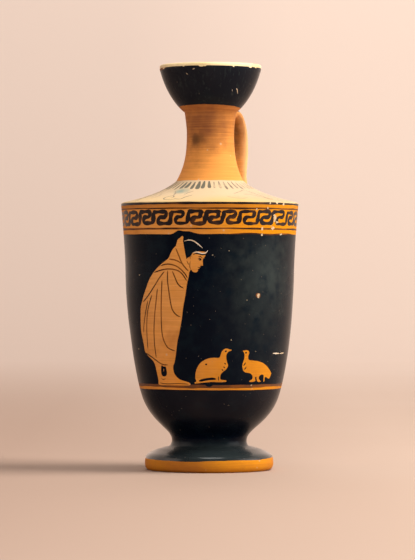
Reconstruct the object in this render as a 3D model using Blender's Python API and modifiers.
# Lekythos, an oil flask of fired clay: a calyx mouth on a narrow neck, a flat shoulder,
# a slim tapering body, a short stem, a disc foot and one strap handle.
# Metres, +Z up. The origin is the middle of the resting ring, and the handle is at +Y.

import bmesh
import bpy
from math import cos, radians, sin, sqrt

# Heights, stacked from the resting ring upwards
FOOT_EDGE_RISE = 0.0054
FOOT_TOP_RISE = 0.0052
STEM_RISE = 0.0031
BOWL_RISE = 0.0200
TAPER_RISE = 0.0543
WALL_RISE = 0.0296
SHOULDER_RISE = 0.0106
NECK_LOW_RISE = 0.0210
NECK_HIGH_RISE = 0.0097
CUP_RISE = 0.0186
LIP_RISE = 0.0025

# Radii of the outer side at those heights
FOOT_RADIUS = 0.0284
FOOT_RING_RADIUS = 0.0254
FOOT_TOP_RADIUS = 0.0176
STEM_RADIUS = 0.0167
BOWL_RADIUS = 0.0308
TAPER_RADIUS = 0.0376
SHOULDER_RADIUS = 0.0395
NECK_BASE_RADIUS = 0.0149
NECK_RADIUS = 0.0108
NECK_TOP_RADIUS = 0.0115
LIP_RADIUS = 0.0226

# Thickness of the clay, and the room inside
BODY_WALL = 0.0040
CUP_WALL = 0.0033
BORE_RADIUS = 0.0066
FLOOR_THICKNESS = 0.0072
RECESS_RADIUS = 0.0190
RECESS_DEPTH = 0.0028
LIP_ROUNDING = 0.0009
SHOULDER_ROUNDING = 0.0010
WELD_DISTANCE = 0.00001

# Strap handle, measured along its middle line
STRAP_WIDTH = 0.0122
STRAP_THICKNESS = 0.0043
FINGER_GAP = 0.0169
CREST_GAP = 0.0070
CREST_DROP = 0.0004
ROOT_DROP = 0.0034
BEND_DROP = 0.0056
BEND_INSET = 0.0026
REACH_DROP = 0.0165
STRAP_TUCK = 0.0006
STRAP_FLARE = 1.3

# Finish
GLAZE_COLOUR = (0.012, 0.016, 0.021, 1.0)
GLAZE_ROUGHNESS = 0.22

# Fineness of the faceted solid
TURN_STEPS = 56
STRAP_STEPS = 7
STRAP_BEVEL = 3
SHOULDER_SAMPLES = 40

# Heights of the outline's stations
foot_edge_z = FOOT_EDGE_RISE
foot_top_z = foot_edge_z + FOOT_TOP_RISE
stem_z = foot_top_z + STEM_RISE
bowl_z = stem_z + BOWL_RISE
taper_z = bowl_z + TAPER_RISE
shoulder_z = taper_z + WALL_RISE
neck_base_z = shoulder_z + SHOULDER_RISE
neck_z = neck_base_z + NECK_LOW_RISE
neck_top_z = neck_z + NECK_HIGH_RISE
cup_z = neck_top_z + CUP_RISE
lip_z = cup_z + LIP_RISE

# How far each stretch leans outwards, in degrees from straight down
CUP_LEAN = -13.0
CUP_FOOT_LEAN = -50.0
NECK_TOP_LEAN = -8.0
NECK_FOOT_LEAN = 28.0
SHOULDER_TOP_LEAN = 48.0
SHOULDER_LEAN = 77.0
WALL_LEAN = -4.8
TAPER_LEAN = -0.8
BOWL_LEAN = -16.0
STEM_LEAN = -8.6
STEM_FOOT_LEAN = 42.0
FOOT_TOP_LEAN = 76.0
FOOT_EDGE_LEAN = 8.0
FOOT_RING_LEAN = -78.0
RECESS_LEAN = -150.0
FLAT_OUTWARDS = 90.0
FLAT_INWARDS = -90.0
UPRIGHT = 0.0

# How far each stretch holds on to its lean at either end, as shares of its straight length
ROUNDING_PULLS = (0.39, 0.39)
CUP_PULLS = (0.31, 0.29)
THROAT_PULLS = (0.35, 0.35)
NECK_TOP_PULLS = (0.30, 0.30)
NECK_FOOT_PULLS = (0.40, 0.36)
BORE_PULLS = (0.55, 0.15)
SHOULDER_PULLS = (0.30, 0.30)
WALL_PULLS = (0.32, 0.32)
TAPER_PULLS = (0.30, 0.27)
BOWL_PULLS = (0.53, 0.20)
FLOOR_PULLS = (0.45, 0.55)
STEM_PULLS = (0.40, 0.30)
FOOT_TOP_PULLS = (0.50, 0.20)
FOOT_EDGE_PULLS = (0.45, 0.40)
RECESS_PULLS = (0.10, 0.60)


def along(lean):
    """The direction of travel of an outline that leans outwards by so many degrees."""
    return sin(radians(lean)), -cos(radians(lean))


def stretch(start, end, leans, pulls, count):
    """So many points of one smooth stretch of outline, its end left out."""
    length = sqrt((end[0] - start[0]) ** 2 + (end[1] - start[1]) ** 2)
    away, onto = along(leans[0]), along(leans[1])
    controls = (
        start,
        tuple(start[i] + away[i] * pulls[0] * length for i in (0, 1)),
        tuple(end[i] - onto[i] * pulls[1] * length for i in (0, 1)),
        end,
    )
    points = []
    for step in range(count):
        t = step / count
        shares = ((1 - t) ** 3, 3 * t * (1 - t) ** 2, 3 * t * t * (1 - t), t**3)
        points.append(tuple(sum(s * c[i] for s, c in zip(shares, controls)) for i in (0, 1)))
    return points


def inset(point, lean, wall, other_lean=None):
    """The inner face's point behind an outer one, where one or two stretches meet."""
    if other_lean is None:
        other_lean = lean
    first = (-cos(radians(lean)), -sin(radians(lean)))
    second = (-cos(radians(other_lean)), -sin(radians(other_lean)))
    share = wall / (1 + first[0] * second[0] + first[1] * second[1])
    return tuple(point[i] + share * (first[i] + second[i]) for i in (0, 1))


def shoulder_stretch(start, end, count):
    """The shoulder's slope from the neck out to its edge, on the outside or the inside."""
    return stretch(start, end, (SHOULDER_TOP_LEAN, SHOULDER_LEAN), SHOULDER_PULLS, count)


def shoulder_edge():
    """Where the shoulder's outer face starts to round over into the wall."""
    return SHOULDER_RADIUS - SHOULDER_ROUNDING, shoulder_z + SHOULDER_ROUNDING


def shoulder_height(radius):
    """Height of the shoulder's outer face at a radius between neck and body."""
    points = shoulder_stretch((NECK_BASE_RADIUS, neck_base_z), shoulder_edge(), SHOULDER_SAMPLES)
    points += [shoulder_edge(), (SHOULDER_RADIUS, shoulder_z)]
    for inner, outer in zip(points, points[1:]):
        if outer[0] >= radius:
            share = (radius - inner[0]) / (outer[0] - inner[0])
            return inner[1] + share * (outer[1] - inner[1])
    return shoulder_z


def outer_outline():
    """The outside, from the top of the lip down to the axis under the foot."""
    cup = (LIP_RADIUS, cup_z)
    neck_top = (NECK_TOP_RADIUS, neck_top_z)
    neck = (NECK_RADIUS, neck_z)
    neck_base = (NECK_BASE_RADIUS, neck_base_z)
    shoulder = (SHOULDER_RADIUS, shoulder_z)
    taper = (TAPER_RADIUS, taper_z)
    bowl = (BOWL_RADIUS, bowl_z)
    stem = (STEM_RADIUS, stem_z)
    foot_top = (FOOT_TOP_RADIUS, foot_top_z)
    foot_edge = (FOOT_RADIUS, foot_edge_z)
    foot_ring = (FOOT_RING_RADIUS, 0.0)
    recess_rim = (RECESS_RADIUS, 0.0)
    recess = (0.0, RECESS_DEPTH)
    lip_top = (LIP_RADIUS - LIP_ROUNDING, lip_z)
    lip_side = (LIP_RADIUS, lip_z - LIP_ROUNDING)
    edge = shoulder_edge()
    points = stretch(lip_top, lip_side, (FLAT_OUTWARDS, UPRIGHT), ROUNDING_PULLS, 2)
    points.append(lip_side)
    points += stretch(cup, neck_top, (CUP_LEAN, CUP_FOOT_LEAN), CUP_PULLS, 7)
    points += stretch(neck_top, neck, (NECK_TOP_LEAN, UPRIGHT), NECK_TOP_PULLS, 2)
    points += stretch(neck, neck_base, (UPRIGHT, NECK_FOOT_LEAN), NECK_FOOT_PULLS, 5)
    points += shoulder_stretch(neck_base, edge, 5)
    points += stretch(edge, shoulder, (SHOULDER_LEAN, WALL_LEAN), ROUNDING_PULLS, 2)
    points += stretch(shoulder, taper, (WALL_LEAN, TAPER_LEAN), WALL_PULLS, 2)
    points += stretch(taper, bowl, (TAPER_LEAN, BOWL_LEAN), TAPER_PULLS, 5)
    points += stretch(bowl, stem, (BOWL_LEAN, STEM_LEAN), BOWL_PULLS, 7)
    points += stretch(stem, foot_top, (STEM_LEAN, STEM_FOOT_LEAN), STEM_PULLS, 2)
    points += stretch(foot_top, foot_edge, (FOOT_TOP_LEAN, FOOT_EDGE_LEAN), FOOT_TOP_PULLS, 4)
    points += stretch(foot_edge, foot_ring, (FOOT_EDGE_LEAN, FOOT_RING_LEAN), FOOT_EDGE_PULLS, 4)
    points.append(foot_ring)
    points += stretch(recess_rim, recess, (RECESS_LEAN, FLAT_INWARDS), RECESS_PULLS, 3)
    points.append(recess)
    return points


def inner_outline():
    """The inside, from the top of the lip down to the axis on the floor of the body."""
    cup = inset((LIP_RADIUS, cup_z), CUP_LEAN, CUP_WALL)
    throat = inset((NECK_TOP_RADIUS, neck_top_z), CUP_FOOT_LEAN, CUP_WALL)
    bore_top = (BORE_RADIUS, neck_top_z - CUP_WALL)
    bore = (BORE_RADIUS, neck_z)
    neck_base = inset((NECK_BASE_RADIUS, neck_base_z), SHOULDER_TOP_LEAN, BODY_WALL)
    shoulder = inset((SHOULDER_RADIUS, shoulder_z), SHOULDER_LEAN, BODY_WALL, WALL_LEAN)
    taper = inset((TAPER_RADIUS, taper_z), TAPER_LEAN, BODY_WALL)
    bowl = inset((BOWL_RADIUS, bowl_z), BOWL_LEAN, BODY_WALL)
    floor = (0.0, stem_z + FLOOR_THICKNESS)
    lip_top = (LIP_RADIUS - CUP_WALL + LIP_ROUNDING, lip_z)
    lip_side = (LIP_RADIUS - CUP_WALL, lip_z - LIP_ROUNDING)
    points = stretch(lip_top, lip_side, (FLAT_INWARDS, UPRIGHT), ROUNDING_PULLS, 2)
    points.append(lip_side)
    points += stretch(cup, throat, (CUP_LEAN, CUP_FOOT_LEAN), CUP_PULLS, 5)
    points += stretch(throat, bore_top, (CUP_FOOT_LEAN, UPRIGHT), THROAT_PULLS, 2)
    points.append(bore_top)
    points += stretch(bore, neck_base, (UPRIGHT, SHOULDER_TOP_LEAN), BORE_PULLS, 3)
    points += shoulder_stretch(neck_base, shoulder, 3)
    points += stretch(shoulder, taper, (WALL_LEAN, TAPER_LEAN), WALL_PULLS, 2)
    points += stretch(taper, bowl, (TAPER_LEAN, BOWL_LEAN), TAPER_PULLS, 3)
    points += stretch(bowl, floor, (BOWL_LEAN, FLAT_INWARDS), FLOOR_PULLS, 6)
    points.append(floor)
    return points


def clay_finish(name, colour, roughness):
    """A Principled finish for fired clay."""
    material = bpy.data.materials.new(name)
    material.use_nodes = True
    shader = material.node_tree.nodes["Principled BSDF"]
    shader.inputs["Base Color"].default_value = colour
    shader.inputs["Roughness"].default_value = roughness
    shader.inputs["Metallic"].default_value = 0.0
    return material


def turned_vessel(collection):
    """The mouth, neck, body and foot as one turned wall, hollow down to the floor."""
    outline = list(reversed(inner_outline())) + outer_outline()
    mesh = bpy.data.meshes.new("lekythos")
    edges = [(i, i + 1) for i in range(len(outline) - 1)]
    mesh.from_pydata([(radius, 0.0, height) for radius, height in outline], edges, [])
    vessel = bpy.data.objects.new("lekythos", mesh)
    collection.objects.link(vessel)
    turn = vessel.modifiers.new("turned on the wheel", "SCREW")
    turn.steps = turn.render_steps = TURN_STEPS
    turn.use_merge_vertices = True
    turn.merge_threshold = WELD_DISTANCE
    turn.use_smooth_shade = True
    return vessel


def strap_line():
    """The strap's middle line in the plane of +Y, from inside the neck to inside the shoulder."""
    reach = NECK_RADIUS + FINGER_GAP + STRAP_THICKNESS / 2
    landing = reach - STRAP_TUCK
    root_depth = (NECK_RADIUS + BORE_RADIUS) / 2
    return [
        (root_depth, neck_top_z - ROOT_DROP, STRAP_FLARE),
        (NECK_RADIUS + CREST_GAP + STRAP_THICKNESS / 2, neck_top_z - CREST_DROP, 1.0),
        (reach - BEND_INSET, neck_top_z - BEND_DROP, 1.0),
        (reach, neck_top_z - REACH_DROP, 1.0),
        (landing, shoulder_height(landing) - BODY_WALL / 2, STRAP_FLARE),
    ]


def strap_handle(cutters):
    """The strap handle, a flattened tube along its middle line, as a closed mesh."""
    line = strap_line()
    curve = bpy.data.curves.new("handle line", "CURVE")
    curve.dimensions = "3D"
    curve.bevel_depth = STRAP_THICKNESS / 2
    curve.bevel_resolution = STRAP_BEVEL
    curve.use_fill_caps = True
    curve.twist_mode = "MINIMUM"
    spline = curve.splines.new("BEZIER")
    spline.resolution_u = STRAP_STEPS
    spline.bezier_points.add(len(line) - 1)
    for point, (radius, height, flare) in zip(spline.bezier_points, line):
        point.co = (0.0, radius, height)
        point.radius = flare
        point.handle_left_type = point.handle_right_type = "AUTO"
    guide = bpy.data.objects.new("handle line", curve)
    guide.scale.x = STRAP_WIDTH / STRAP_THICKNESS
    cutters.objects.link(guide)
    bpy.context.view_layer.update()
    evaluated = guide.evaluated_get(bpy.context.evaluated_depsgraph_get())
    mesh = bpy.data.meshes.new_from_object(evaluated)
    shape = bmesh.new()
    shape.from_mesh(mesh)
    bmesh.ops.remove_doubles(shape, verts=shape.verts, dist=WELD_DISTANCE)
    bmesh.ops.recalc_face_normals(shape, faces=shape.faces)
    shape.to_mesh(mesh)
    shape.free()
    handle = bpy.data.objects.new("strap", mesh)
    handle.matrix_world = guide.matrix_world
    bpy.data.objects.remove(guide)
    cutters.objects.link(handle)
    handle.hide_render = True
    handle.display_type = "WIRE"
    return handle


def join_handle(vessel, handle):
    """The strap is luted on and fired with the wall, so it becomes the same solid."""
    union = vessel.modifiers.new("luted handle", "BOOLEAN")
    union.operation = "UNION"
    union.solver = "EXACT"
    union.object = handle


def clear_scene():
    for old in list(bpy.data.objects):
        bpy.data.objects.remove(old)


def make_collection(name):
    collection = bpy.data.collections.new(name)
    bpy.context.scene.collection.children.link(collection)
    return collection


def main():
    clear_scene()
    parts = make_collection("lekythos")
    cutters = make_collection("cutters")
    vessel = turned_vessel(parts)
    vessel.data.materials.append(clay_finish("black glazed clay", GLAZE_COLOUR, GLAZE_ROUGHNESS))
    join_handle(vessel, strap_handle(cutters))


main()
